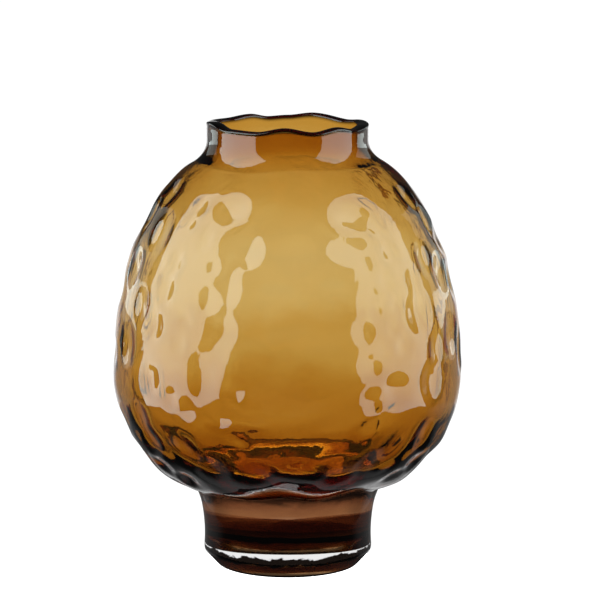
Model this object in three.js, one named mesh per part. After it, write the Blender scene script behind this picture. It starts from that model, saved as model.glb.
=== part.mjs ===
import * as THREE from 'three';

// A hand-blown glass vase. A bubble of amber glass is cased in a hammered layer of clear glass and stands
// on a solid clear foot, which holds a heel of amber glass. Fused joints are drawn as thin seams.
// Millimetres, +Z up, origin under the middle of the foot. Angles run from the front (-Y) towards +X.

// Outside of the bowl, shoulder and neck
const HEIGHT = 250;
const BODY_RADIUS = 97;
const WIDEST_HEIGHT = 108;
const CREASE_RADIUS = 56;
const CREASE_HEIGHT = 48;
const NECK_RADIUS = 44.6;
const NECK_HEIGHT = 19.7;
const NECK_BASE_HEIGHT = HEIGHT - NECK_HEIGHT;
const NECK_FILLET = 8;

// Curve handles: how far the bowl and the shoulder run straight on from each of their ends
const BOWL_REACH = 26;
const BOWL_RISE = 9;
const BOWL_SIDE = 20;
const SHOULDER_SIDE = 53.4;
const SHOULDER_REACH = 36.2;
const SHOULDER_DROP = 17.1;

// Glass thickness
const CASING_WALL = 2.1;
const BODY_WALL = 3.6;
const NECK_WALL = 6.2;
const FLOOR_HEIGHT = 55;
const FLOOR_RADIUS = 30;
const FLOOR_REACH = 72;
const FLOOR_SIDE = 24;
const SEAM = 0.3;

// Lip: a rounded rim that stands a little proud of the neck and waves up and down. Each wave is given by its
// angle in degrees and its height above the middle of the rim.
const LIP_HEIGHT = 3;
const LIP_PROUD = 0.3;
const LIP_CROWN = 1.2;
const RIM_WAVES = [
  [-180, 0.3], [-165, -0.3], [-150, 1.4], [-128, 0.2], [-100, 0.6], [-70, 1.6], [-48, -1.1], [-24, -1.6],
  [-2, 0.7], [20, -1.7], [40, 0.3], [58, -1.5], [80, -0.3], [105, 0.4], [128, -0.7], [160, 1.8], [180, 0.3],
];

// Foot: flat underneath, bevelled and drawn in a little, with a short flare under the bowl
const FOOT_RADIUS = 47;
const STANDING_RADIUS = 38;
const BEVEL_LOW_RADIUS = 41;
const BEVEL_LOW_HEIGHT = 1.9;
const BEVEL_HIGH_RADIUS = 46.2;
const BEVEL_HIGH_HEIGHT = 7.6;
const FOOT_EDGE = 11;
const FOOT_WAIST_IN = 1.5;
const FOOT_WAIST_RISE = 19;
const FOOT_TOP_RADIUS = 50;
const FOOT_FLARE_IN = 3.5;
const FOOT_FLARE_DROP = 4;

// Amber heel inside the foot: a gob that sags underneath and is drawn up into a stem
const HEEL_RADIUS = 44;
const HEEL_SAG = 11.3;
const HEEL_RIM_IN = 0.7;
const HEEL_RIM_HEIGHT = 16.8;
const HEEL_SIDE_LOW = 19;
const HEEL_SIDE_HIGH = 24;
const HEEL_SHOULDER_HEIGHT = 40;
const HEEL_STEM = 15;

// Hammer marks: shallow round dents in staggered rows on the casing
const MARK_ROWS = 7;
const MARK_FIRST_HEIGHT = 66;
const MARK_NECK_DISTANCE = 18.3;
const MARK_LAST_HEIGHT = NECK_BASE_HEIGHT - MARK_NECK_DISTANCE;
const MARK_PITCH = 29;
const MARK_RADIUS = 15;
const MARK_DEPTH = 1.6;
const MARK_SCATTER = 0.22;

// Columns of facets round the axis
const HAMMERED_COLUMNS = 96;
const PLAIN_COLUMNS = 48;

const point = (radius, height) => new THREE.Vector2(radius, height);

// Points along a curve without its first point, so that stretches can follow one another
const along = (curve, steps) => curve.getPoints(steps).slice(1);

// A quarter of an ellipse from one point to another, which leaves the first one upwards or outwards
function quarterRound(from, to, upFirst, steps) {
  const corner = upFirst ? point(from.x, to.y) : point(to.x, from.y);
  const points = [];
  for (let step = 1; step <= steps; step += 1) {
    const angle = (step / steps) * Math.PI / 2;
    const fromShare = 1 - Math.sin(angle);
    const toShare = 1 - Math.cos(angle);
    const cornerShare = 1 - fromShare - toShare;
    points.push(point(
      from.x * fromShare + corner.x * cornerShare + to.x * toShare,
      from.y * fromShare + corner.y * cornerShare + to.y * toShare,
    ));
  }
  return points;
}

// The outside of the casing from the crease to the foot of the lip, with no hammer marks
function outsideOutline(bowlSteps, shoulderSteps, filletSteps) {
  const crease = point(CREASE_RADIUS, CREASE_HEIGHT + SEAM);
  const widest = point(BODY_RADIUS, WIDEST_HEIGHT);
  const neckCorner = point(NECK_RADIUS, NECK_BASE_HEIGHT);
  const slope = SHOULDER_DROP / SHOULDER_REACH;
  const shoulderEnd = point(NECK_RADIUS + NECK_FILLET, NECK_BASE_HEIGHT - NECK_FILLET * slope);
  const bowl = new THREE.CubicBezierCurve(
    crease,
    point(crease.x + BOWL_REACH, crease.y + BOWL_RISE),
    point(widest.x, widest.y - BOWL_SIDE),
    widest,
  );
  const shoulder = new THREE.CubicBezierCurve(
    widest,
    point(widest.x, widest.y + SHOULDER_SIDE),
    point(neckCorner.x + SHOULDER_REACH, neckCorner.y - SHOULDER_DROP),
    shoulderEnd,
  );
  const fillet = new THREE.QuadraticBezierCurve(
    shoulderEnd,
    neckCorner,
    point(NECK_RADIUS, NECK_BASE_HEIGHT + NECK_FILLET),
  );
  return [
    crease,
    ...along(bowl, bowlSteps),
    ...along(shoulder, shoulderSteps),
    ...along(fillet, filletSteps),
    point(NECK_RADIUS, HEIGHT - LIP_HEIGHT),
  ];
}

// Unit normals of an outline that runs upwards on the outside, pointing out of the glass
function outlineNormals(outline) {
  return outline.map((_, index) => {
    const before = outline[Math.max(index - 1, 0)];
    const after = outline[Math.min(index + 1, outline.length - 1)];
    const run = after.clone().sub(before).normalize();
    return point(run.y, -run.x);
  });
}

// An outline moved into the glass, by a depth that may change with height
function movedIn(outline, depthAt) {
  const normals = outlineNormals(outline);
  return outline.map((spot, index) => spot.clone().addScaledVector(normals[index], -depthAt(spot.y)));
}

// The wall thickens from the widest ring to the neck
function wallAt(height) {
  const share = THREE.MathUtils.smoothstep(height, WIDEST_HEIGHT, NECK_BASE_HEIGHT);
  return THREE.MathUtils.lerp(BODY_WALL, NECK_WALL, share);
}

// How far the lip dips below the full height at an angle: nothing at its highest crest
function lipDip(angle) {
  const turn = THREE.MathUtils.euclideanModulo(THREE.MathUtils.radToDeg(angle) + 180, 360) - 180;
  const after = Math.max(RIM_WAVES.findIndex(([stop]) => stop >= turn), 1);
  const [from, low] = RIM_WAVES[after - 1];
  const [to, high] = RIM_WAVES[after];
  const wave = THREE.MathUtils.lerp(low, high, THREE.MathUtils.smoothstep(turn, from, to));
  return Math.max(...RIM_WAVES.map(([, rise]) => rise)) - wave;
}

// The lip's waves fade out down the neck
function waveLip(place, angle) {
  const share = THREE.MathUtils.smoothstep(place.z, NECK_BASE_HEIGHT + NECK_FILLET, HEIGHT);
  place.z -= lipDip(angle) * share;
}

// Repeatable scatter between -1 and 1 for a mark's row, column and kind
function scatter(row, column, kind) {
  const spread = Math.sin(row * 12.9898 + column * 78.233 + kind * 37.719) * 43758.5453;
  return 2 * (spread - Math.floor(spread)) - 1;
}

function radiusAt(outline, height) {
  const upper = outline.findIndex((spot) => spot.y >= height);
  const from = outline[upper - 1];
  const to = outline[upper];
  return THREE.MathUtils.mapLinear(height, from.y, to.y, from.x, to.x);
}

function hammerMarks(outline) {
  const marks = [];
  const rowStep = (MARK_LAST_HEIGHT - MARK_FIRST_HEIGHT) / (MARK_ROWS - 1);
  for (let row = 0; row < MARK_ROWS; row += 1) {
    const rowHeight = MARK_FIRST_HEIGHT + row * rowStep;
    const count = Math.round(2 * Math.PI * radiusAt(outline, rowHeight) / MARK_PITCH);
    for (let column = 0; column < count; column += 1) {
      const stagger = (row % 2) / 2;
      const angle = (column + stagger + MARK_SCATTER * scatter(row, column, 0)) / count * 2 * Math.PI;
      const height = rowHeight + MARK_SCATTER * rowStep * scatter(row, column, 1);
      const radius = radiusAt(outline, height);
      marks.push({
        centre: new THREE.Vector3(radius * Math.sin(angle), -radius * Math.cos(angle), height),
        radius: MARK_RADIUS * (1 + MARK_SCATTER * scatter(row, column, 2)),
        depth: MARK_DEPTH * (1 + MARK_SCATTER * (scatter(row, column, 3) - 1) / 2),
      });
    }
  }
  return marks;
}

// Depth of the hammered surface at a place: marks run into one another, and none is deeper than MARK_DEPTH
function dentAt(marks, place) {
  let left = 1;
  for (const mark of marks) {
    const reach = place.distanceTo(mark.centre) / mark.radius;
    if (reach < 1) {
      const bowl = (1 - reach * reach) ** 2;
      left *= 1 - bowl * mark.depth / MARK_DEPTH;
    }
  }
  return MARK_DEPTH * (1 - left);
}

// Turns a closed outline about the axis, then moves each vertex by what shape does to it
function turned(outline, columns, shape) {
  const geometry = new THREE.LatheGeometry(outline, columns).rotateX(Math.PI / 2);
  const positions = geometry.getAttribute('position');
  const place = new THREE.Vector3();
  for (let index = 0; index < positions.count; index += 1) {
    place.fromBufferAttribute(positions, index);
    const angle = Math.floor(index / outline.length) / columns * 2 * Math.PI;
    shape(place, angle, index % outline.length);
    positions.setXYZ(index, place.x, place.y, place.z);
  }
  return geometry;
}

function glass(color, opacity) {
  return new THREE.MeshStandardMaterial({ color, roughness: 0.04, metalness: 0, transparent: true, opacity });
}

function part(name, geometry, material) {
  const mesh = new THREE.Mesh(geometry, material);
  mesh.name = name;
  return mesh;
}

const BOWL_STEPS = 9;
const SHOULDER_STEPS = 14;
const FILLET_STEPS = 2;
const LIP_STEPS = 2;
const COARSE_BOWL_STEPS = 5;
const COARSE_SHOULDER_STEPS = 6;
const FLOOR_STEPS = 7;
const HEEL_STEPS = 3;

const outside = outsideOutline(BOWL_STEPS, SHOULDER_STEPS, FILLET_STEPS);
const coarseOutside = outsideOutline(COARSE_BOWL_STEPS, COARSE_SHOULDER_STEPS, FILLET_STEPS);
const lipShoulder = HEIGHT - LIP_CROWN;

// Both faces of the fused joint between casing and bubble
const casingInside = movedIn(coarseOutside, () => CASING_WALL);
const bubbleOutside = movedIn(coarseOutside, () => CASING_WALL + SEAM);

// Clear outer layer, from the crease over the shoulder to the outer half of the lip
function clearCasing() {
  const lipOuter = point(NECK_RADIUS + LIP_PROUD, lipShoulder);
  const lipTop = point(casingInside.at(-1).x, HEIGHT);
  const outline = [
    ...outside,
    lipOuter,
    ...quarterRound(lipOuter, lipTop, true, LIP_STEPS),
    ...casingInside.toReversed(),
    outside[0],
  ];
  const marks = hammerMarks(outside);
  const normals = outlineNormals(outside);
  const geometry = turned(outline, HAMMERED_COLUMNS, (place, angle, index) => {
    const normal = normals[index % (outline.length - 1)];
    if (normal) {
      const depth = dentAt(marks, place);
      place.x -= depth * normal.x * Math.sin(angle);
      place.y += depth * normal.x * Math.cos(angle);
      place.z -= depth * normal.y;
    }
    waveLip(place, angle);
  });
  return part('clear_casing', geometry, glass('#e9e4da', 0.35));
}

// Amber bubble: inner half of the lip, lining of the neck, wall of the bowl and its thick floor
function amberBubble() {
  const firstShoulder = COARSE_BOWL_STEPS;
  const inside = movedIn(coarseOutside, wallAt).slice(firstShoulder);
  const lipInner = point(NECK_RADIUS - NECK_WALL, lipShoulder);
  const lipTop = point(bubbleOutside.at(-1).x, HEIGHT);
  const widestInside = inside[0];
  const floor = new THREE.CubicBezierCurve(
    point(FLOOR_RADIUS, FLOOR_HEIGHT),
    point(FLOOR_REACH, FLOOR_HEIGHT),
    point(widestInside.x, widestInside.y - FLOOR_SIDE),
    widestInside,
  );
  const seat = CREASE_HEIGHT + SEAM;
  const outline = [
    point(0, seat),
    point(bubbleOutside[0].x, seat),
    ...bubbleOutside,
    lipTop,
    ...quarterRound(lipTop, lipInner, false, LIP_STEPS),
    ...inside.toReversed(),
    ...floor.getPoints(FLOOR_STEPS).toReversed().slice(1),
    point(0, FLOOR_HEIGHT),
  ];
  const geometry = turned(outline, PLAIN_COLUMNS, waveLip);
  return part('amber_bubble', geometry, glass('#a8701c', 0.7));
}

// The heel's outline from under its middle to the top of its stem
function heelOutline() {
  const rim = point(HEEL_RADIUS - HEEL_RIM_IN, HEEL_RIM_HEIGHT);
  const sideHigh = point(HEEL_RADIUS - HEEL_RIM_IN, HEEL_SIDE_HIGH);
  const stemLow = point(HEEL_STEM, HEEL_SHOULDER_HEIGHT);
  const sag = new THREE.QuadraticBezierCurve(point(0, HEEL_SAG), point(rim.x / 2, HEEL_SAG), rim);
  const drawnUp = new THREE.CubicBezierCurve(
    sideHigh,
    sideHigh.clone().lerp(point(HEEL_STEM, HEEL_SIDE_HIGH), 0.25),
    stemLow.clone().lerp(point(HEEL_STEM, HEEL_SIDE_HIGH), 0.4),
    stemLow,
  );
  return [
    point(0, HEEL_SAG),
    ...along(sag, HEEL_STEPS),
    point(HEEL_RADIUS, HEEL_SIDE_LOW),
    sideHigh,
    ...along(drawnUp, HEEL_STEPS),
    point(HEEL_STEM, CREASE_HEIGHT),
  ];
}

// Solid amber heel under the bowl, sealed into the foot
function amberHeel() {
  const outline = [...heelOutline(), point(0, CREASE_HEIGHT)];
  const geometry = turned(outline, PLAIN_COLUMNS, () => {});
  return part('amber_heel', geometry, glass('#4a1c05', 0.9));
}

// Clear foot: a thick bevelled base, a drawn-in waist and a short flare under the bowl
function clearFoot() {
  const SIDE_STEPS = 6;
  const edgeTop = point(FOOT_RADIUS, FOOT_EDGE);
  const side = new THREE.CubicBezierCurve(
    edgeTop,
    point(FOOT_RADIUS - FOOT_WAIST_IN, FOOT_EDGE + FOOT_WAIST_RISE),
    point(FOOT_TOP_RADIUS - FOOT_FLARE_IN, CREASE_HEIGHT - FOOT_FLARE_DROP),
    point(FOOT_TOP_RADIUS, CREASE_HEIGHT),
  );
  const socket = movedIn(heelOutline(), () => -SEAM);
  socket[0].x = 0;
  const outline = [
    point(0, 0),
    point(STANDING_RADIUS, 0),
    point(BEVEL_LOW_RADIUS, BEVEL_LOW_HEIGHT),
    point(BEVEL_HIGH_RADIUS, BEVEL_HIGH_HEIGHT),
    edgeTop,
    ...along(side, SIDE_STEPS),
    ...socket.toReversed(),
  ];
  const geometry = turned(outline, PLAIN_COLUMNS, () => {});
  return part('clear_foot', geometry, glass('#e9e4da', 0.35));
}

const vase = new THREE.Group();
vase.add(clearCasing(), amberBubble(), amberHeel(), clearFoot());

export default vase;
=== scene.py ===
import math

import bpy
import numpy as np
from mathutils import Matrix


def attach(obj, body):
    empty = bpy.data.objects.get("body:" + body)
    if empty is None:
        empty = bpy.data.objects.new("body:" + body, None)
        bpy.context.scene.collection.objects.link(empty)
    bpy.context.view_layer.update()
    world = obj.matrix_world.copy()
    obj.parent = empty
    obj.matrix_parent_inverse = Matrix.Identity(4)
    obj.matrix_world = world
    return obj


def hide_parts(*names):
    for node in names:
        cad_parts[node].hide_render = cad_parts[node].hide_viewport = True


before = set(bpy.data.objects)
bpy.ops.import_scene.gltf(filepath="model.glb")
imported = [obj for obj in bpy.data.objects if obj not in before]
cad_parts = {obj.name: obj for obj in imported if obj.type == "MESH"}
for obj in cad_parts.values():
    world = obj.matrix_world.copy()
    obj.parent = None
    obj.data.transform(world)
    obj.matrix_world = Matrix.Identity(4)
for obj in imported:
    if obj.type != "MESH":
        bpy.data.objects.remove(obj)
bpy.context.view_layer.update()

MM = 0.001
TINY = 1e-6

# Turning: columns round the axis, and how far the handles of a quarter round lean to its corner
COLUMNS = 256
QUARTER_LEAN = 0.5523

# Outside of the vase, in millimetres
HEIGHT = 250
BODY_RADIUS = 97
WIDEST_HEIGHT = 108
CREASE_RADIUS = 53.5
CREASE_HEIGHT = 48
NECK_RADIUS = 44.6
NECK_BASE_HEIGHT = 230.3
NECK_FILLET = 8
FILLET_LEAN = 0.4
BOWL_REACH = 30.5
BOWL_RISE = 10.3
BOWL_SIDE = 23
SHOULDER_SIDE = 53.4
SHOULDER_REACH = 36.2
SHOULDER_DROP = 20.3

# Inside of the vase: wall, lining of the neck and its root, shoulder and floor
BODY_WALL = 4.1
NECK_WALL = 6.4
LINING_RISE = 18
LINING_RUN = 15.8
ROOT_OUT = 3.4
ROOT_DROP = 6
ROOT_LEAN = (6, 3.45)
INNER_SHOULDER_REACH = 33
INNER_SHOULDER_DROP = 22.2
INNER_SHOULDER_SIDE = 54
CAVITY_SIDE = 25.5
FLOOR_HEIGHT = 54.5
FLOOR_REACH = 74.5
FLOOR_RADIUS = 30
FLOOR_MARGIN = 1
BOND = 0.1

# Lip, with the waves of its rim as turns in degrees from the front and heights above the middle
LIP_HEIGHT = 3
LIP_PROUD = 0.3
LIP_CROWN = 1.2
LIP_SWELL = (0.7, 0.6)
RIM_WAVES = [
    (-180, 0.3), (-165, -0.3), (-150, 1.4), (-128, 0.2), (-100, 0.6), (-70, 1.6), (-48, -1.1), (-24, -1.6),
    (-2, 0.7), (20, -1.7), (40, 0.3), (58, -1.5), (80, -0.3), (105, 0.4), (128, -0.7), (160, 1.8), (180, 0.3),
]

# Waves round the root of the neck, as height, number of waves and phase
ROOT_WAVES = [(0.9, 4, 0.6), (0.35, 7, 2.1)]
ROOT_WAVE_START = (NECK_BASE_HEIGHT - 22, NECK_BASE_HEIGHT - 2)
ROOT_WAVE_END = (NECK_BASE_HEIGHT + 4, HEIGHT - 6)

# Foot
FOOT_RADIUS = 47
STANDING_RADIUS = 38
STANDING_ROUND = 1.6
BEVEL_LOW = (41, 1.9)
BEVEL_LOW_LEAN = 1.2
BEVEL_HIGH = (46.2, 7.6)
BEVEL_HIGH_LEAN = (0.7, 0.8)
FOOT_EDGE = 11
FOOT_EDGE_DROP = 1.8
FOOT_WAIST_IN = 1.1
FOOT_WAIST_RISE = 13
FOOT_TOP_RADIUS = 52
FOOT_FLARE_IN = 3.7
FOOT_FLARE_DROP = 10
FUSED_DEPTH = 1
FUSED_MARGIN = 0.5

# Amber heel inside the foot, with waves as height, number of waves and phase
HEEL_RADIUS = 44
HEEL_SAG = 11.3
HEEL_SAG_RUN = 15
HEEL_RIM_IN = 0.7
HEEL_RIM_HEIGHT = 16.8
HEEL_RIM_LEAN = (20, 3)
HEEL_RIM_ROUND = (0.6, 0.1)
HEEL_SIDE_LOW = 19
HEEL_SIDE_ROUND = 1.2
HEEL_SIDE_HIGH = 24
HEEL_TOP = 31
HEEL_TOP_LEAN = (4, 2)
HEEL_TOP_RUN = 20
HEEL_LOWER_WAVES = [(0.45, 5, 0.7), (0.35, 11, 0), (0.25, 23, 1.9), (0.2, 41, 0.4)]
HEEL_LOWER_RADII = (HEEL_RADIUS - 18, HEEL_RADIUS - 3)
HEEL_UPPER_WAVES = [(1.6, 3, 1.0), (0.9, 7, 2.0)]
HEEL_UPPER_RADII = (0, HEEL_RADIUS - 20)

# Waves of the crease between bowl and foot, as turns in degrees from the front and heights
CREASE_WAVES = [
    (-180, -0.5), (-155, -2.4), (-132, -0.8), (-110, -2.6), (-90, -2.4), (-60, -3.2), (-24, -2.0), (-3, 0.0),
    (16, -1.9), (41, 0.0), (65, -2.2), (90, -2.6), (112, -0.9), (135, -2.7), (158, -1.2), (180, -0.5),
]
CREASE_WAVE_START = (CREASE_HEIGHT - 14, CREASE_HEIGHT - 1)
CREASE_WAVE_END = (CREASE_HEIGHT + 3, CREASE_HEIGHT + 20)
CREASE_WAVE_RADII = (FOOT_TOP_RADIUS - 28, FOOT_TOP_RADIUS - 2)

# Where the glass is tinted darkest: along the rim, and in front above the crease as painted shade
DARK_RIM = (HEIGHT - 3.4, HEIGHT - 1.4)
CREASE_SHADE_FRONT = (0, 30)
CREASE_SHADE_RADII = (40.5, 46)
CREASE_SHADE_TOP = (CREASE_HEIGHT + 2.4, CREASE_HEIGHT + 8.4)

# Hammer marks: those in front are given one by one on the photograph, at pixel x and y,
# with the reach round the body and upwards and the depth in millimetres
MARK_DEPTH = 3.4
INSIDE_SHARE = 0.9
LEFT_MARKS = [
    (230, 209, 14, 13, 2.3), (200, 206, 6.5, 8, 1.2), (206, 239, 6, 10, 1.2), (160, 233, 11, 15, 2.0),
    (166, 288, 8, 12, 1.6), (209, 299, 8, 12, 1.6), (244, 249, 16, 17, 2.8), (227, 288, 10, 17, 1.7),
    (221, 331, 11, 13, 2.0), (211, 352, 11, 12, 1.9), (196, 358, 8, 10, 1.1), (202, 379, 12, 17, 2.7),
    (233, 393, 8, 9, 1.6), (219, 416, 13, 10, 1.8), (154, 325, 9, 11, 1.6), (150, 379, 10, 11, 1.6),
    (170, 192, 11, 11, 1.8), (134, 268, 11, 14, 2.2), (126, 345, 11, 14, 2.2), (138, 418, 12, 12, 2.0),
    (150, 214, 10, 12, 2.0), (141, 304, 8, 12, 1.8), (176, 262, 6, 9, 1.0), (185, 318, 6, 8, 0.9),
    (178, 345, 6, 8, 1.0), (170, 398, 7, 9, 1.2), (187, 410, 8, 9, 1.3), (213, 268, 5, 8, 0.9),
    (190, 222, 6, 7, 0.9),
]
RIGHT_MARKS = [
    (355, 215, 17, 13, 3.0), (351, 247, 19, 12, 2.2), (390, 252, 7, 8, 1.2), (386, 281, 6, 10, 1.2),
    (419, 312, 13, 16, 2.6), (377, 312, 5, 7, 0.9), (404, 346, 7, 8, 1.3), (372, 366, 9, 10, 1.4),
    (397, 391, 12, 12, 2.4), (374, 402, 8, 10, 1.4), (428, 222, 11, 14, 2.0), (441, 272, 11, 14, 2.0),
    (452, 335, 12, 15, 2.2), (432, 382, 12, 14, 2.2), (408, 196, 10, 11, 1.9), (424, 258, 8, 12, 1.7),
    (437, 349, 8, 12, 1.8), (366, 266, 6, 8, 1.0), (373, 292, 5, 7, 0.8), (396, 302, 6, 8, 1.0),
    (364, 333, 8, 9, 1.3), (392, 330, 5, 6, 0.8), (413, 280, 7, 10, 1.3), (384, 352, 6, 7, 0.9),
    (377, 228, 7, 8, 1.1),
]
LOW_MARKS = [
    (252, 423, 9, 6, 1.0), (372, 432, 9, 9, 1.6), (150, 442, 11, 13, 2.0), (182, 452, 12, 15, 2.0),
    (398, 449, 12, 14, 2.0), (425, 436, 11, 13, 2.0), (237, 446, 7, 8, 1.4), (212, 470, 15, 13, 1.6),
    (254, 477, 16, 12, 1.5), (300, 474, 13, 10, 1.0), (338, 473, 16, 12, 1.6), (374, 464, 14, 13, 1.7),
    (163, 464, 10, 10, 1.6), (415, 461, 10, 10, 1.6), (392, 476, 9, 9, 1.4), (187, 478, 9, 8, 1.4),
]
# A pixel's sightline is followed from this many body radii in front of the axis, in steps of this length
PHOTO_SIZE = 600
SIGHT_START = 1.2
SIGHT_STEP = 0.25
# Behind, rows of marks are scattered
MARK_ROWS = 7
MARK_FIRST_HEIGHT = 66
MARK_LAST_HEIGHT = 212
MARK_PITCH = 29
MARK_REACH = 14.5
BACK_DEPTH = 2.0
MARK_SCATTER = 0.42
FRONT_HALF_ANGLE = math.radians(78)
SCATTER_STEPS = (12.9898, 78.233, 37.719)
SCATTER_SIZE = 43758.5453
# Slow swells of the whole wall, calm at the neck and stronger low down
RIPPLE = 0.16
RIPPLE_LENGTH = 34
RIPPLE_SCATTER = 0.4
RIPPLE_WAVES = 9
RIPPLE_UNDER_NECK = (-8, 12)
LOW_RIPPLE = 3
LOW_RIPPLE_TOP = (68, 96)
# A wall faces out or in if its normal leans at least this much
FACING = 0.02
# The outside across from a point of the inside is found in a few steps of at most this length
SKIN_STEPS = 3
SKIN_STEP = 14

# Light lost in glass per metre in red, green and blue; the density lies a little above the largest loss
AMBER_LOSS = (54, 111, 275)
HEEL_LOSS = (44, 68, 96)
DENSITY_SHARE = 1.1
# Glass bends light, except at the border of the heel, which has glass on both sides
GLASS_IOR = 1.5
HEEL_IOR = 1.0

# Patterns of streaks, as how they are drawn out along the axes and their scale
STREAK_NOISE = {"Detail": 3.0, "Roughness": 0.55, "Distortion": 0.6}
STREAK_MIDDLE = 0.5
CLOUD_STREAKS = ((1, 1, 1.3), 16)
RAGGED_STREAKS = ((1, 1, 1.6), 95)
BODY_STREAKS = ((1, 1, 0.7), 45)
FOOT_STREAKS = ((1, 1, 0.5), 35)
HEEL_STREAKS = ((1, 1, 1.5), 38)
# Bumps that the streaks make, and the stains of the heel as places in a streak with their colours
BUMP_HEIGHT = 0.6
BODY_BUMP = 0.45
FOOT_BUMP = 0.12
HEEL_STAINS = ((0.42, (0.5, 0.34, 0.28)), (0.6, (1, 0.95, 0.9)))

# Amber by height, as millimetres of amber glass that the wall seems to have more there
AMBER_STOPS = [
    (48, 0.5), (60, 2.0), (68, 4.0), (76, 5.0), (84, 4.2), (94, 2.8), (104, 1.8), (113, 2.6), (120, 2.2),
    (130, 0.6), (140, 0.4), (204, 0.3), (214, 0.4), (221, 1.4), (228, 3.0), (234, 5.0), (245, 5.6),
]
# The same at the rim and at the painted shade above the crease, where it is darkest
DARK_EXTRA = 110
# Clouds move these borders up and down by their height, and fade between two heights
CLOUDS = 60
CLOUD_FADES = [(70, 100, 0, 1), (200, 220, 1, 0)]

# Foot by height, as the share of light that passes its surface
CLEAR = (0.9, 0.9, 0.9)
# Painted shade: the clear foot is made near black where it shows the shade under the vase
PAINTED_SHADE = (0.003, 0.002, 0.0015)
# Painted shade, brown, low in the foot
PAINTED_BROWN_SHADE = (0.26, 0.14, 0.06)
# Grey that dims the painted glow under the foot into a painted bright band
PAINTED_BAND_GREY = (0.29, 0.29, 0.29)
AMBER_HAZE = (0.62, 0.47, 0.37)
AMBER_LOW = (0.52, 0.33, 0.21)
AMBER_TOP = (0.5, 0.31, 0.19)
AMBER_DEEP = (0.4, 0.23, 0.14)
# Painted shade at the crease
PAINTED_CREASE_SHADE = (0.1, 0.06, 0.04)
FOOT_STOPS = [
    (0.0, CLEAR), (0.15, PAINTED_SHADE), (1.6, PAINTED_SHADE), (2.4, PAINTED_BROWN_SHADE), (7, PAINTED_BROWN_SHADE), (8, PAINTED_SHADE), (12.4, PAINTED_SHADE), (12.9, PAINTED_BAND_GREY),
    (17.3, PAINTED_BAND_GREY), (18, CLEAR), (23, CLEAR), (27, AMBER_HAZE), (30, AMBER_LOW), (36, AMBER_TOP),
    (41.6, AMBER_DEEP), (45, PAINTED_CREASE_SHADE), (48, PAINTED_CREASE_SHADE),
]
FUSED_COLOUR = (0.95, 0.95, 0.95, 1)
# Streaks make these borders ragged
RAGGED = 7
RAGGED_FADES = [(2, 8, 0, 1)]

# Studio, in metres. Four numbers in a row are where a change starts and ends, and the level at both places.
STUDIO_FLOOR_SIZE = 8
STUDIO_FLOOR_PLACE = (0, 3.3, 0.0002)
STUDIO_FLOOR_COLOUR = (0.9, 0.9, 0.9, 1)
FLOOR_FOR_CAMERA = 1.15
FLOOR_GLOW_SHARE = 0.9
FLOOR_NEAR_VASE = (0.05, 0.075, 0.6, 1.0)
# Painted glow of the floor right under the foot, seen through the base as a bright band
PAINTED_GLOW_UNDER_FOOT = (0.046, 0.052, 3.0, 0.0)
# The white backdrop ends on both sides and overhead. From here on a place is a share of a sightline's length.
BACKDROP_SIDES = (0.4, 0.66, 1.0, 0.65)
BACKDROP_TOP = (0.35, 0.6, 1.0, 0.3)
# Light was never bent or mirrored if the count of that is under this
NEVER = 0.5
# What the outside of the glass mirrors: a sweep behind, the floor below, and little else
DARKEST = 0.03
SWEEP_BEHIND = (0.35, 0.65, 0.0, 0.85)
SWEEP_TOP = (-0.05, 0.06, 1.0, 0.0)
SWEEP_SIDES = (0.25, 0.5, 1.0, 0.28)
SWEEP_BOTTOM = (-0.7, -0.35, 0.2, 1.0)
BELOW_TOP = (-0.9, -0.7, 0.3, 0.0)
BELOW_BEHIND = (0.05, 0.25, 0.0, 1.0)
# What light mirrors that has entered the glass
INNER_TOP = (0.6, 0.95, 0.12, 0.4)
INNER_SIDES = (0.55, 0.85, 0.0, 0.45)
# Shades round the foot, in metres: a disc on the floor, up to its limit, and a low wall further out
SHADE_CORNERS = 64
DISC_RADIUS = 0.05
DISC_HEIGHT = 0.0003
DISC_LIMIT = 0.0004
WALL_RADIUS = 0.3
WALL_HEIGHT = 0.1
WALL_MIDDLE = -0.03
SHADE_LEVEL = 0.1
SHADE_BEHIND = (0.0, 0.12, 0.0, 1.0)
WALL_PALER = (-0.03, 0.02, 0.0, 0.15)
# Soft panels, as name, side, near and far end, bottom, top and radiance
PANEL_COLOUR = (0.87, 1.0, 0.98)
MAIN_PANELS = [
    ("left_panel", -1, -1.0, 0.28, -0.2, 1.8, 4.0),
    ("right_panel", 1, -0.88, 0.22, -0.2, 1.6, 3.1),
]
# Panels further back on both sides, as name, bottom, top and radiance
EDGE_PANEL_ENDS = (0.5, 1.6)
EDGE_PANELS = [("low_edge", 0.0, 0.1, 0.3), ("neck_edge", 0.1, 0.22, 2.2), ("high_edge", 0.22, 0.7, 0.6)]

# Camera, as the photograph was taken
CAMERA_PLACE = (0, -1600, 401)
CAMERA_TILT = math.radians(8.95)
CAMERA_TURN = math.radians(-0.246)
CAMERA_ANGLE = math.radians(11.77)
CAMERA_END = 50
# How often light may be bent or mirrored
GLASS_BOUNCES = 24
OTHER_BOUNCES = 12


# Outlines and turning

def quarter(start, end, corner, steps):
    """A quarter round from start to end, whose handles lean towards the corner."""
    first = [s + QUARTER_LEAN * (c - s) for s, c in zip(start, corner)]
    last = [e + QUARTER_LEAN * (c - e) for e, c in zip(end, corner)]
    return start, first, last, end, steps


def straight(start, end, steps):
    first = [s + (e - s) / 3 for s, e in zip(start, end)]
    last = [e + (s - e) / 3 for s, e in zip(start, end)]
    return start, first, last, end, steps


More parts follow.
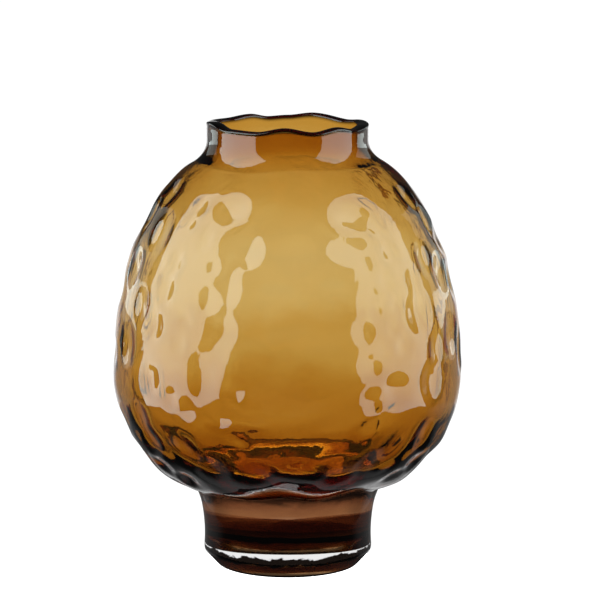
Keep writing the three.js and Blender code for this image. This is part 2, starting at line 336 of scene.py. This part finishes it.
def turn_outline(name, stretches):
    """Draws an outline and spins it about the axis.

    Each Bezier stretch has a start, two handles and an end, as radius and height, and a number of steps.
    """
    bpy.ops.object.select_all(action="DESELECT")
    bpy.ops.curve.primitive_bezier_curve_add(location=(0, 0, 0))
    curve = bpy.context.object.data
    curve.dimensions = "3D"
    curve.splines.clear()
    for start, first, last, end, steps in stretches:
        spline = curve.splines.new("BEZIER")
        spline.bezier_points.add(1)
        spline.resolution_u = steps
        for spot, place, lead in zip(spline.bezier_points, (start, end), (first, last)):
            spot.handle_left_type = spot.handle_right_type = "FREE"
            spot.co = (place[0] * MM, 0, place[1] * MM)
            spot.handle_left = spot.handle_right = (lead[0] * MM, 0, lead[1] * MM)
    bpy.ops.object.convert(target="MESH")
    piece = bpy.context.object
    piece.name = piece.data.name = name
    bpy.ops.object.mode_set(mode="EDIT")
    bpy.ops.mesh.select_all(action="SELECT")
    bpy.ops.mesh.remove_doubles(threshold=TINY)
    bpy.ops.mesh.spin(steps=COLUMNS, angle=2 * math.pi, center=(0, 0, 0), axis=(0, 0, 1), use_auto_merge=True)
    bpy.ops.mesh.select_all(action="SELECT")
    bpy.ops.mesh.remove_doubles(threshold=TINY)
    bpy.ops.mesh.normals_make_consistent(inside=False)
    bpy.ops.object.mode_set(mode="OBJECT")
    bpy.ops.object.shade_smooth()
    return piece


def read_places(piece):
    """Places of the points in millimetres."""
    places = np.empty(len(piece.data.vertices) * 3)
    piece.data.vertices.foreach_get("co", places)
    return places.reshape(-1, 3) / MM


def read_normals(piece):
    normals = np.empty(len(piece.data.vertices) * 3)
    piece.data.vertices.foreach_get("normal", normals)
    return normals.reshape(-1, 3)


def write_places(piece, places):
    piece.data.vertices.foreach_set("co", (places * MM).ravel())
    piece.data.update()


def write_mark(piece, name, values):
    """Keeps a value for each point as an attribute, which a material reads."""
    piece.data.attributes.new(name, "FLOAT", "POINT").data.foreach_set("value", values)


def smoothstep(values, low, high):
    share = np.clip((values - low) / (high - low), 0, 1)
    return share * share * (3 - 2 * share)


def radii_of(places):
    return np.hypot(places[:, 0], places[:, 1])


def angles_of(places):
    """Angle round the axis from the front (-Y) towards +X."""
    return np.arctan2(places[:, 0], -places[:, 1])


def outward_lean(places, normals):
    """How far each normal leans away from the axis, from -1 to 1."""
    across = places[:, 0] * normals[:, 0] + places[:, 1] * normals[:, 1]
    return across / np.maximum(radii_of(places), TINY)


def hand_wave(waves, places):
    """Height of a wave given point by point, at the angle of each place."""
    turns = np.degrees(angles_of(places))
    stops, rises = (np.array(values) for values in zip(*waves))
    after = np.clip(np.searchsorted(stops, turns), 1, len(stops) - 1)
    share = smoothstep(turns, stops[after - 1], stops[after])
    return rises[after - 1] * (1 - share) + rises[after] * share


def round_wave(waves, places):
    """Sum of even waves round the axis at the angle of each place."""
    turns = angles_of(places)
    return sum(height * np.sin(number * turns + phase) for height, number, phase in waves)


# Body: one wall of amber glass, which stands for the bubble and its fused casing

def turn_body():
    slope = SHOULDER_DROP / SHOULDER_REACH
    crease = (CREASE_RADIUS, CREASE_HEIGHT - BOND)
    bowl_lean = (crease[0] + BOWL_REACH, crease[1] + BOWL_RISE)
    widest = (BODY_RADIUS, WIDEST_HEIGHT)
    shoulder_lean = (NECK_RADIUS + SHOULDER_REACH, NECK_BASE_HEIGHT - SHOULDER_DROP)
    shoulder_end = (NECK_RADIUS + NECK_FILLET, NECK_BASE_HEIGHT - NECK_FILLET * slope)
    fillet = FILLET_LEAN * NECK_FILLET
    neck_start = (NECK_RADIUS, NECK_BASE_HEIGHT + NECK_FILLET)
    lip_foot = (NECK_RADIUS, HEIGHT - LIP_HEIGHT)
    lip_outer = (NECK_RADIUS + LIP_PROUD, HEIGHT - LIP_CROWN)
    lip_middle = (NECK_RADIUS - NECK_WALL / 2, HEIGHT)
    lip_inner = (NECK_RADIUS - NECK_WALL, HEIGHT - LIP_CROWN)
    lining = (NECK_RADIUS - NECK_WALL, NECK_BASE_HEIGHT + LINING_RISE)
    root = (NECK_RADIUS + ROOT_OUT, NECK_BASE_HEIGHT - ROOT_DROP)
    inner_shoulder_lean = (root[0] + INNER_SHOULDER_REACH, root[1] - INNER_SHOULDER_DROP)
    widest_inside = (BODY_RADIUS - BODY_WALL, WIDEST_HEIGHT)
    floor_edge = (FLOOR_RADIUS, FLOOR_HEIGHT)
    return turn_outline("vase_body", [
        straight((0, crease[1]), crease, 12),
        (crease, bowl_lean, (widest[0], widest[1] - BOWL_SIDE), widest, 46),
        (widest, (widest[0], widest[1] + SHOULDER_SIDE), shoulder_lean, shoulder_end, 84),
        (shoulder_end, (NECK_RADIUS + fillet, NECK_BASE_HEIGHT - fillet * slope),
         (NECK_RADIUS, NECK_BASE_HEIGHT + fillet), neck_start, 10),
        straight(neck_start, lip_foot, 7),
        (lip_foot, (NECK_RADIUS, lip_foot[1] + LIP_SWELL[0]),
         (lip_outer[0], lip_outer[1] - LIP_SWELL[1]), lip_outer, 4),
        quarter(lip_outer, lip_middle, (lip_outer[0], HEIGHT), 6),
        quarter(lip_middle, lip_inner, (lip_inner[0], HEIGHT), 6),
        straight(lip_inner, lining, 1),
        (lining, (lining[0], lining[1] - LINING_RUN),
         (root[0] - ROOT_LEAN[0], root[1] + ROOT_LEAN[1]), root, 26),
        (root, inner_shoulder_lean,
         (widest_inside[0], widest_inside[1] + INNER_SHOULDER_SIDE), widest_inside, 72),
        (widest_inside, (widest_inside[0], widest_inside[1] - CAVITY_SIDE),
         (FLOOR_REACH, FLOOR_HEIGHT), floor_edge, 56),
        straight(floor_edge, (0, FLOOR_HEIGHT), 8),
    ])


def scatter(row, column, kind):
    """Repeatable scatter between -1 and 1 for a mark's row, column and kind."""
    steps = SCATTER_STEPS
    spread = math.sin(row * steps[0] + column * steps[1] + kind * steps[2]) * SCATTER_SIZE
    return 2 * (spread - math.floor(spread)) - 1


def spot_on_body(pixel_x, pixel_y, radius_at):
    """Place on the undented body, in millimetres, that the photograph shows at a pixel."""
    reach = PHOTO_SIZE / 2 / math.tan(CAMERA_ANGLE / 2)
    across = (pixel_x - PHOTO_SIZE / 2) / reach
    upwards = (PHOTO_SIZE / 2 - pixel_y) / reach
    ahead = np.array([-math.sin(CAMERA_TURN) * math.cos(CAMERA_TILT),
                      math.cos(CAMERA_TURN) * math.cos(CAMERA_TILT), -math.sin(CAMERA_TILT)])
    right = np.array([math.cos(CAMERA_TURN), math.sin(CAMERA_TURN), 0])
    sight = ahead + across * right + upwards * np.cross(right, ahead)
    for step in np.arange(-SIGHT_START * BODY_RADIUS, 0, SIGHT_STEP):
        spot = np.array(CAMERA_PLACE) + sight * (step - CAMERA_PLACE[1])
        if math.hypot(spot[0], spot[1]) < radius_at(spot[2]):
            return spot
    raise ValueError("no glass at that pixel")


def hammer_marks(radius_at):
    """Marks as (place on the body, reach round it, reach upwards, depth)."""
    marks = [(spot_on_body(x, y, radius_at), across, tall, depth)
             for x, y, across, tall, depth in LEFT_MARKS + RIGHT_MARKS + LOW_MARKS]
    row_step = (MARK_LAST_HEIGHT - MARK_FIRST_HEIGHT) / (MARK_ROWS - 1)
    for row in range(MARK_ROWS):
        row_height = MARK_FIRST_HEIGHT + row * row_step
        count = math.floor(2 * math.pi * radius_at(row_height) / MARK_PITCH + 0.5)
        for column in range(count):
            turn = (column + (row % 2) / 2 + MARK_SCATTER * scatter(row, column, 0)) / count
            angle = math.remainder(turn * 2 * math.pi, 2 * math.pi)
            if abs(angle) < FRONT_HALF_ANGLE:
                continue
            height = row_height + MARK_SCATTER * row_step * scatter(row, column, 1)
            radius = radius_at(height)
            place = np.array([radius * math.sin(angle), -radius * math.cos(angle), height])
            across, tall, depth = (1 + MARK_SCATTER * scatter(row, column, kind) for kind in (2, 3, 4))
            marks.append((place, MARK_REACH * across, MARK_REACH * tall, BACK_DEPTH * depth))
    return marks


def ripple(places):
    """Slow swells all over the wall, from a few crossed waves."""
    swell = np.zeros(len(places))
    for number in range(RIPPLE_WAVES):
        lean = np.array([scatter(number, 1, 0), scatter(number, 2, 0), scatter(number, 3, 0)])
        length = RIPPLE_LENGTH * (1 + RIPPLE_SCATTER * scatter(number, 4, 0))
        swell += np.sin(places @ lean / np.linalg.norm(lean) * 2 * math.pi / length + number)
    return RIPPLE * swell / math.sqrt(RIPPLE_WAVES)


def dent(piece):
    """Hammers the wall: marks run into one another, and the inside follows the outside."""
    places = read_places(piece)
    normals = read_normals(piece)
    radii = radii_of(places)
    outwards = outward_lean(places, normals)
    outside = (outwards > FACING) & (places[:, 2] > CREASE_HEIGHT)
    inside = (outwards < -FACING) & (places[:, 2] > FLOOR_HEIGHT)
    order = np.argsort(places[outside, 2])
    heights = places[outside, 2][order]
    reaches = radii[outside][order]

    def radius_at(height):
        return np.interp(height, heights, reaches)

    skin = places.copy()
    for _ in range(SKIN_STEPS):
        short = np.clip(radius_at(skin[:, 2]) - radii_of(skin), 0, SKIN_STEP)
        skin -= normals * (short * np.abs(outwards) * inside)[:, None]
    left = np.ones(len(places))
    for place, across, tall, depth in hammer_marks(radius_at):
        slope = (radius_at(place[2] + 1) - radius_at(place[2] - 1)) / 2
        radius = math.hypot(place[0], place[1])
        outward = np.array([place[0] / radius, place[1] / radius, -slope]) / math.hypot(1, slope)
        along = np.array([-place[1], place[0], 0]) / radius
        upward = np.cross(outward, along)
        offset = skin - place
        away = (offset @ along / across) ** 2 + (offset @ upward / tall) ** 2
        away += (offset @ outward / max(across, tall)) ** 2
        left *= 1 - np.clip(1 - away, 0, None) ** 2 * depth / MARK_DEPTH
    swell = ripple(skin) * smoothstep(NECK_BASE_HEIGHT - skin[:, 2], *RIPPLE_UNDER_NECK)
    swell *= 1 + LOW_RIPPLE * (1 - smoothstep(skin[:, 2], *LOW_RIPPLE_TOP))
    depths = MARK_DEPTH * (1 - left) + swell
    places -= normals * (depths * outside)[:, None]
    places += normals * (INSIDE_SHARE * depths * inside)[:, None]
    write_places(piece, places)


def mark_dark_rim_and_crease_shade(piece):
    """Marks how close each point is to the rim or, in front, to the crease; the crease part is painted shade.
    """
    places = read_places(piece)
    heights = places[:, 2]
    # Painted shade of the crease, in front only
    crease_shade = smoothstep(-places[:, 1], *CREASE_SHADE_FRONT) * smoothstep(radii_of(places), *CREASE_SHADE_RADII)
    crease_shade *= 1 - smoothstep(heights, *CREASE_SHADE_TOP)
    write_mark(piece, "rim", smoothstep(heights, *DARK_RIM) + crease_shade)


def wave_lip(piece):
    """Waves the rim up and down."""
    places = read_places(piece)
    wave = hand_wave(RIM_WAVES, places) - max(rise for _, rise in RIM_WAVES)
    places[:, 2] += wave * smoothstep(places[:, 2], NECK_BASE_HEIGHT + NECK_FILLET, HEIGHT)
    write_places(piece, places)


def wave_root(piece):
    """Waves the root of the neck, so that it doesn't run round the vase as one straight line."""
    places = read_places(piece)
    near = smoothstep(places[:, 2], *ROOT_WAVE_START) * (1 - smoothstep(places[:, 2], *ROOT_WAVE_END))
    places[:, 2] += round_wave(ROOT_WAVES, places) * near
    write_places(piece, places)


def wave_crease(piece):
    """Waves the crease where bowl and foot meet; the floor of the bowl stays flat."""
    places = read_places(piece)
    heights = places[:, 2]
    near = smoothstep(heights, *CREASE_WAVE_START) * (1 - smoothstep(heights, *CREASE_WAVE_END))
    near *= smoothstep(radii_of(places), *CREASE_WAVE_RADII)
    near[(heights > FLOOR_HEIGHT - FLOOR_MARGIN) & (outward_lean(places, read_normals(piece)) < 0)] = 0
    places[:, 2] += hand_wave(CREASE_WAVES, places) * near
    write_places(piece, places)


# Foot of clear glass and the amber heel inside it

def turn_foot():
    standing = (STANDING_RADIUS, 0)
    edge_top = (FOOT_RADIUS, FOOT_EDGE)
    top = (FOOT_TOP_RADIUS, CREASE_HEIGHT + BOND)
    return turn_outline("clear_foot_glass", [
        straight((0, 0), standing, 14),
        (standing, (STANDING_RADIUS + STANDING_ROUND, 0),
         (BEVEL_LOW[0] - BEVEL_LOW_LEAN, BEVEL_LOW[1] - BEVEL_LOW_LEAN), BEVEL_LOW, 8),
        straight(BEVEL_LOW, BEVEL_HIGH, 8),
        (BEVEL_HIGH, (BEVEL_HIGH[0] + BEVEL_HIGH_LEAN[0], BEVEL_HIGH[1] + BEVEL_HIGH_LEAN[1]),
         (FOOT_RADIUS, FOOT_EDGE - FOOT_EDGE_DROP), edge_top, 8),
        (edge_top, (FOOT_RADIUS - FOOT_WAIST_IN, FOOT_EDGE + FOOT_WAIST_RISE),
         (FOOT_TOP_RADIUS - FOOT_FLARE_IN, CREASE_HEIGHT - FOOT_FLARE_DROP), top, 36),
        straight(top, (0, top[1]), 16),
    ])


def mark_fused(piece):
    """Marks the points of the foot's flat top, which is fused to the bowl."""
    places = read_places(piece)
    top = (places[:, 2] > CREASE_HEIGHT - FUSED_DEPTH) & (radii_of(places) < FOOT_TOP_RADIUS - FUSED_MARGIN)
    write_mark(piece, "fused", top.astype(float))


def turn_heel():
    rim = (HEEL_RADIUS - HEEL_RIM_IN, HEEL_RIM_HEIGHT)
    side_low = (HEEL_RADIUS, HEEL_SIDE_LOW)
    side_high = (rim[0], HEEL_SIDE_HIGH)
    return turn_outline("heel_core", [
        ((0, HEEL_SAG), (HEEL_SAG_RUN, HEEL_SAG),
         (rim[0] - HEEL_RIM_LEAN[0], rim[1] - HEEL_RIM_LEAN[1]), rim, 24),
        (rim, (rim[0] + HEEL_RIM_ROUND[0], rim[1] + HEEL_RIM_ROUND[1]),
         (HEEL_RADIUS, HEEL_SIDE_LOW - HEEL_SIDE_ROUND), side_low, 5),
        straight(side_low, side_high, 6),
        (side_high, (side_high[0] - HEEL_TOP_LEAN[0], HEEL_TOP - HEEL_TOP_LEAN[1]),
         (HEEL_TOP_RUN, HEEL_TOP), (0, HEEL_TOP), 24),
    ])


def wave_heel(piece):
    """Waves the heel's lower rim, which edges the bright band of the foot, and its upper side."""
    places = read_places(piece)
    radii = radii_of(places)
    lower = round_wave(HEEL_LOWER_WAVES, places) * smoothstep(radii, *HEEL_LOWER_RADII)
    upper = round_wave(HEEL_UPPER_WAVES, places) * smoothstep(radii, *HEEL_UPPER_RADII)
    top = smoothstep(places[:, 2], HEEL_SIDE_LOW, HEEL_SIDE_HIGH)
    places[:, 2] += lower * (1 - top) + upper * top
    write_places(piece, places)


# Materials

def new_material(name):
    material = bpy.data.materials.new(name)
    material.use_nodes = True
    tree = material.node_tree
    tree.nodes.clear()
    return material, tree


def math_node(tree, operation, first, *others):
    """Joins values by one operation, from the first to the last."""
    for other in others:
        node = tree.nodes.new("ShaderNodeMath")
        node.operation = operation
        for socket, value in zip(node.inputs, (first, other)):
            if isinstance(value, (int, float)):
                socket.default_value = value
            else:
                tree.links.new(value, socket)
        first = node.outputs[0]
    return first


def mix_node(tree, kind, factor, first, second):
    """Mix of two values or colours, of which the second may be the same all over."""
    node = tree.nodes.new("ShaderNodeMix")
    node.data_type = kind
    tree.links.new(factor, node.inputs["Factor"])
    tree.links.new(first, node.inputs["A"])
    if isinstance(second, tuple):
        node.inputs["B"].default_value = second
    else:
        tree.links.new(second, node.inputs["B"])
    return node.outputs["Result"]


def ramp(tree, value, low, high, start, end):
    """Smooth change from start to end while the value goes from low to high."""
    node = tree.nodes.new("ShaderNodeMapRange")
    node.interpolation_type = "SMOOTHSTEP"
    for socket, number in zip(("From Min", "From Max", "To Min", "To Max"), (low, high, start, end)):
        node.inputs[socket].default_value = number
    tree.links.new(value, node.inputs["Value"])
    return node.outputs[0]


def split_vector(tree, vector):
    node = tree.nodes.new("ShaderNodeSeparateXYZ")
    tree.links.new(vector, node.inputs[0])
    return node.outputs


def mark_of(tree, name):
    node = tree.nodes.new("ShaderNodeAttribute")
    node.attribute_name = name
    return node.outputs["Fac"]


def glass(name, ior, losses):
    """Glass with the light that it loses per metre, or none."""
    material, tree = new_material(name)
    shader = tree.nodes.new("ShaderNodeBsdfPrincipled")
    shader.inputs["Base Color"].default_value = (1, 1, 1, 1)
    shader.inputs["Roughness"].default_value = 0.0
    shader.inputs["IOR"].default_value = ior
    shader.inputs["Transmission Weight"].default_value = 1.0
    output = tree.nodes.new("ShaderNodeOutputMaterial")
    tree.links.new(shader.outputs["BSDF"], output.inputs["Surface"])
    if losses:
        density = max(losses) * DENSITY_SHARE
        volume = tree.nodes.new("ShaderNodeVolumeAbsorption")
        volume.inputs["Color"].default_value = (*(1 - loss / density for loss in losses), 1)
        volume.inputs["Density"].default_value = density
        tree.links.new(volume.outputs["Volume"], output.inputs["Volume"])
    return material


def paint(material, colour):
    """Lets a colour that changes over the surface tint the glass."""
    tree = material.node_tree
    tree.links.new(colour, tree.nodes["Principled BSDF"].inputs["Base Color"])


def streaks():
    """Shared pattern of hand-worked glass: soft streaks of a given size, drawn out along an axis."""
    group = bpy.data.node_groups.new("glass_streaks", "ShaderNodeTree")
    group.interface.new_socket("Drawn", in_out="INPUT", socket_type="NodeSocketVector")
    group.interface.new_socket("Scale", in_out="INPUT", socket_type="NodeSocketFloat")
    group.interface.new_socket("Streak", in_out="OUTPUT", socket_type="NodeSocketFloat")
    given = group.nodes.new("NodeGroupInput")
    result = group.nodes.new("NodeGroupOutput")
    spot = group.nodes.new("ShaderNodeTexCoord")
    drawn = group.nodes.new("ShaderNodeVectorMath")
    drawn.operation = "MULTIPLY"
    group.links.new(spot.outputs["Object"], drawn.inputs[0])
    group.links.new(given.outputs["Drawn"], drawn.inputs[1])
    noise = group.nodes.new("ShaderNodeTexNoise")
    for socket, value in STREAK_NOISE.items():
        noise.inputs[socket].default_value = value
    group.links.new(drawn.outputs["Vector"], noise.inputs["Vector"])
    group.links.new(given.outputs["Scale"], noise.inputs["Scale"])
    group.links.new(noise.outputs["Fac"], result.inputs["Streak"])
    return group


def add_streaks(tree, drawn, scale):
    node = tree.nodes.new("ShaderNodeGroup")
    node.node_tree = streak_group
    node.inputs["Drawn"].default_value = drawn
    node.inputs["Scale"].default_value = scale
    return node.outputs["Streak"]


def uneven_share(tree, full_height, streak, reach, fades):
    """Share of the full height, which streaks raise and lower."""
    spot = tree.nodes.new("ShaderNodeTexCoord")
    height = split_vector(tree, spot.outputs["Object"])["Z"]
    shift = math_node(tree, "SUBTRACT", add_streaks(tree, *streak), STREAK_MIDDLE)
    levels = [ramp(tree, height, low * MM, high * MM, start, end) for low, high, start, end in fades]
    shift = math_node(tree, "MULTIPLY", shift, reach * MM, *levels)
    return math_node(tree, "DIVIDE", math_node(tree, "ADD", height, shift), full_height * MM)


def colours_by_height(tree, share, full_height, blend, stops):
    tint = tree.nodes.new("ShaderNodeValToRGB")
    tint.color_ramp.interpolation = blend
    elements = tint.color_ramp.elements
    while len(elements) < len(stops):
        elements.new(0.5)
    for element, (height, colour) in zip(elements, stops):
        element.position = height / full_height
        element.color = (*colour, 1)
    tree.links.new(share, tint.inputs[0])
    return tint.outputs["Color"]


def through_amber(extra):
    """Colour of white light after this many millimetres of amber glass."""
    return tuple(math.exp(-loss * extra * MM) for loss in AMBER_LOSS)


def deepen(material):
    """Tints the amber glass by height, and darkens it at the rim and, as painted shade, at the crease."""
    tree = material.node_tree
    share = uneven_share(tree, HEIGHT, CLOUD_STREAKS, CLOUDS, CLOUD_FADES)
    stops = [(height, through_amber(extra)) for height, extra in AMBER_STOPS]
    tint = colours_by_height(tree, share, HEIGHT, "B_SPLINE", stops)
    # The rim mark darkens the glass along the rim, and in front above the crease as painted shade
    paint(material, mix_node(tree, "RGBA", mark_of(tree, "rim"), tint, (*through_amber(DARK_EXTRA), 1)))


def shade_foot(material):
    """Tints the foot by height, except its fused top: painted shade and band low down, amber above, painted
    crease shade.

    The shader takes a colour for two crossings of the surface, so the share for one crossing is squared.
    """
    tree = material.node_tree
    share = uneven_share(tree, CREASE_HEIGHT, RAGGED_STREAKS, RAGGED, RAGGED_FADES)
    stops = [(height, tuple(part ** 2 for part in passed)) for height, passed in FOOT_STOPS]
    tint = colours_by_height(tree, share, CREASE_HEIGHT, "LINEAR", stops)
    paint(material, mix_node(tree, "RGBA", mark_of(tree, "fused"), tint, FUSED_COLOUR))


def add_bump(material, streak, strength):
    """Faint unevenness of a surface worked by hand."""
    tree = material.node_tree
    bump = tree.nodes.new("ShaderNodeBump")
    bump.inputs["Strength"].default_value = strength
    bump.inputs["Distance"].default_value = BUMP_HEIGHT * MM
    tree.links.new(add_streaks(tree, *streak), bump.inputs["Height"])
    tree.links.new(bump.outputs["Normal"], tree.nodes["Principled BSDF"].inputs["Normal"])


def stain(material, streak, stains):
    """Streaks of deeper and paler colour in the glass."""
    tree = material.node_tree
    tint = tree.nodes.new("ShaderNodeValToRGB")
    for element, (place, colour) in zip(tint.color_ramp.elements, stains):
        element.position = place
        element.color = (*colour, 1)
    tree.links.new(add_streaks(tree, *streak), tint.inputs[0])
    paint(material, tint.outputs["Color"])


streak_group = streaks()

amber_glass = glass("amber_glass", GLASS_IOR, AMBER_LOSS)
deepen(amber_glass)
add_bump(amber_glass, BODY_STREAKS, BODY_BUMP)
clear_glass = glass("clear_glass", GLASS_IOR, None)
shade_foot(clear_glass)
add_bump(clear_glass, FOOT_STREAKS, FOOT_BUMP)
heel_glass = glass("heel_glass", HEEL_IOR, HEEL_LOSS)
stain(heel_glass, HEEL_STREAKS, HEEL_STAINS)

body = turn_body()
dent(body)
mark_dark_rim_and_crease_shade(body)
wave_lip(body)
wave_root(body)
wave_crease(body)
body.data.materials.append(amber_glass)
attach(body, "root")
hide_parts("amber_bubble", "clear_casing")

foot = turn_foot()
mark_fused(foot)
wave_crease(foot)
foot.data.materials.append(clear_glass)
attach(foot, "root")
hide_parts("clear_foot")

heel = turn_heel()
wave_heel(heel)
heel.data.materials.append(heel_glass)
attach(heel, "root")
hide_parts("amber_heel")


# Studio: white floor and backdrop, a tall soft panel on each side

def add_glow(tree, level):
    glow = tree.nodes.new("ShaderNodeEmission")
    glow.inputs["Color"].default_value = (1, 1, 1, 1)
    tree.links.new(level, glow.inputs["Strength"])
    return glow.outputs[0]


def finish_material(tree, surface):
    output = tree.nodes.new("ShaderNodeOutputMaterial")
    tree.links.new(surface, output.inputs["Surface"])


def build_floor():
    """White floor. Near the vase it has the vase's own shade painted in, which the glass shows, and right
    under the foot a painted glow that shows through the base.
    """
    bpy.ops.object.select_all(action="DESELECT")
    bpy.ops.mesh.primitive_plane_add(size=STUDIO_FLOOR_SIZE, location=STUDIO_FLOOR_PLACE)
    floor = bpy.context.object
    floor.name = "studio_floor"
    material, tree = new_material("white_floor")
    path = tree.nodes.new("ShaderNodeLightPath").outputs
    place = tree.nodes.new("ShaderNodeNewGeometry").outputs["Position"]
    length = tree.nodes.new("ShaderNodeVectorMath")
    length.operation = "LENGTH"
    tree.links.new(place, length.inputs[0])
    away = length.outputs["Value"]
    aside = math_node(tree, "ABSOLUTE", split_vector(tree, place)["X"], 0)
    aside = math_node(tree, "DIVIDE", aside, away)
    shaded = ramp(tree, away, *FLOOR_NEAR_VASE)
    level = math_node(tree, "MULTIPLY", shaded, ramp(tree, aside, *BACKDROP_SIDES))
    for_camera = math_node(tree, "MULTIPLY", path["Is Camera Ray"], FLOOR_FOR_CAMERA)
    # Painted glow right under the foot, which shows through the base as the bright band
    level = math_node(tree, "MAXIMUM", level, ramp(tree, away, *PAINTED_GLOW_UNDER_FOOT), for_camera)
    share = math_node(tree, "MULTIPLY", path["Is Camera Ray"], FLOOR_GLOW_SHARE)
    share = math_node(tree, "MAXIMUM", share, path["Is Transmission Ray"])
    matte = tree.nodes.new("ShaderNodeBsdfDiffuse")
    matte.inputs["Color"].default_value = STUDIO_FLOOR_COLOUR
    mix = tree.nodes.new("ShaderNodeMixShader")
    tree.links.new(share, mix.inputs[0])
    tree.links.new(matte.outputs[0], mix.inputs[1])
    tree.links.new(add_glow(tree, level), mix.inputs[2])
    finish_material(tree, mix.outputs[0])
    floor.data.materials.append(material)
    floor.visible_glossy = False


def add_shade(name, material):
    """Makes the new piece a shade, which only mirroring glass shows."""
    shade = bpy.context.object
    shade.name = name
    shade.data.materials.append(material)
    for kind in ("camera", "diffuse", "transmission", "shadow", "volume_scatter"):
        setattr(shade, "visible_" + kind, False)


def build_shades():
    """What the foot mirrors of the floor: a small disc round it and a low wall further out, both in shade."""
    material, tree = new_material("shaded_floor")
    place = split_vector(tree, tree.nodes.new("ShaderNodeNewGeometry").outputs["Position"])
    on_wall = math_node(tree, "GREATER_THAN", math_node(tree, "ABSOLUTE", place["Z"], 0), DISC_LIMIT)
    paler = math_node(tree, "MULTIPLY", on_wall, ramp(tree, place["Z"], *WALL_PALER))
    level = math_node(tree, "ADD", paler, SHADE_LEVEL)
    level = math_node(tree, "MULTIPLY", level, ramp(tree, place["Y"], *SHADE_BEHIND))
    finish_material(tree, add_glow(tree, math_node(tree, "ADD", level, DARKEST)))
    bpy.ops.object.select_all(action="DESELECT")
    bpy.ops.mesh.primitive_circle_add(
        vertices=SHADE_CORNERS, radius=DISC_RADIUS, fill_type="NGON", location=(0, 0, DISC_HEIGHT))
    add_shade("shaded_disc", material)
    bpy.ops.object.select_all(action="DESELECT")
    bpy.ops.mesh.primitive_cylinder_add(
        vertices=SHADE_CORNERS, radius=WALL_RADIUS, depth=WALL_HEIGHT, end_fill_type="NOTHING",
        location=(0, 0, WALL_MIDDLE))
    add_shade("shaded_wall", material)


def build_world():
    """White all round for the camera and through the glass, darker in front in what the glass mirrors."""
    world = bpy.data.worlds.new("studio")
    bpy.context.scene.world = world
    world.use_nodes = True
    tree = world.node_tree
    tree.nodes.clear()
    path = tree.nodes.new("ShaderNodeLightPath").outputs
    way = split_vector(tree, tree.nodes.new("ShaderNodeTexCoord").outputs["Generated"])
    aside = math_node(tree, "ABSOLUTE", way["X"], 0)
    behind, upwards = way["Y"], way["Z"]
    sweep = math_node(tree, "MULTIPLY", ramp(tree, behind, *SWEEP_BEHIND), ramp(tree, upwards, *SWEEP_TOP),
                      ramp(tree, aside, *SWEEP_SIDES), ramp(tree, upwards, *SWEEP_BOTTOM))
    below = math_node(tree, "MULTIPLY", ramp(tree, upwards, *BELOW_TOP), ramp(tree, behind, *BELOW_BEHIND))
    outer = math_node(tree, "MAXIMUM", sweep, DARKEST, below)
    inner = math_node(tree, "MAXIMUM", ramp(tree, upwards, *INNER_TOP), ramp(tree, aside, *INNER_SIDES))
    entered = math_node(tree, "GREATER_THAN", path["Transmission Depth"], NEVER)
    mirrored = mix_node(tree, "FLOAT", entered, outer, inner)
    backdrop = math_node(tree, "MULTIPLY", ramp(tree, aside, *BACKDROP_SIDES),
                         ramp(tree, upwards, *BACKDROP_TOP))
    backdrop = math_node(tree, "MAXIMUM", backdrop, path["Is Camera Ray"])
    unmirrored = math_node(tree, "LESS_THAN", path["Glossy Depth"], NEVER)
    through = math_node(tree, "MULTIPLY", path["Is Transmission Ray"], unmirrored)
    seen = math_node(tree, "MAXIMUM", path["Is Camera Ray"], through)
    sky = tree.nodes.new("ShaderNodeBackground")
    sky.inputs["Color"].default_value = (1, 1, 1, 1)
    tree.links.new(mix_node(tree, "FLOAT", seen, mirrored, backdrop), sky.inputs["Strength"])
    output = tree.nodes.new("ShaderNodeOutputWorld")
    tree.links.new(sky.outputs[0], output.inputs["Surface"])


def add_panel(name, side, near_end, far_end, bottom, top, radiance):
    """An upright soft panel on one side, facing the vase."""
    depth, height = far_end - near_end, top - bottom
    bpy.ops.object.light_add(type="AREA", location=(side, (near_end + far_end) / 2, (bottom + top) / 2))
    panel = bpy.context.object
    panel.name = name
    panel.rotation_euler = (0, math.radians(90 * side), 0)
    panel.data.shape = "RECTANGLE"
    panel.data.size = height
    panel.data.size_y = depth
    panel.data.color = PANEL_COLOUR
    panel.data.energy = math.pi * radiance * depth * height
    panel.visible_camera = False
    panel.visible_transmission = False


build_floor()
build_shades()
build_world()
for panel in MAIN_PANELS:
    add_panel(*panel)
for side, side_name in ((-1, "left_"), (1, "right_")):
    for edge_name, bottom, top, radiance in EDGE_PANELS:
        add_panel(side_name + edge_name, side, *EDGE_PANEL_ENDS, bottom, top, radiance)

# Camera where the photograph was taken from
bpy.ops.object.camera_add(
    location=[value * MM for value in CAMERA_PLACE],
    rotation=(math.radians(90) - CAMERA_TILT, 0, CAMERA_TURN),
)
camera = bpy.context.object
camera.data.sensor_fit = "HORIZONTAL"
camera.data.angle = CAMERA_ANGLE
camera.data.clip_end = CAMERA_END

scene = bpy.context.scene
scene.camera = camera
scene.view_settings.view_transform = "Standard"
scene.cycles.max_bounces = GLASS_BOUNCES
scene.cycles.transmission_bounces = GLASS_BOUNCES
scene.cycles.glossy_bounces = OTHER_BOUNCES
scene.cycles.transparent_max_bounces = OTHER_BOUNCES
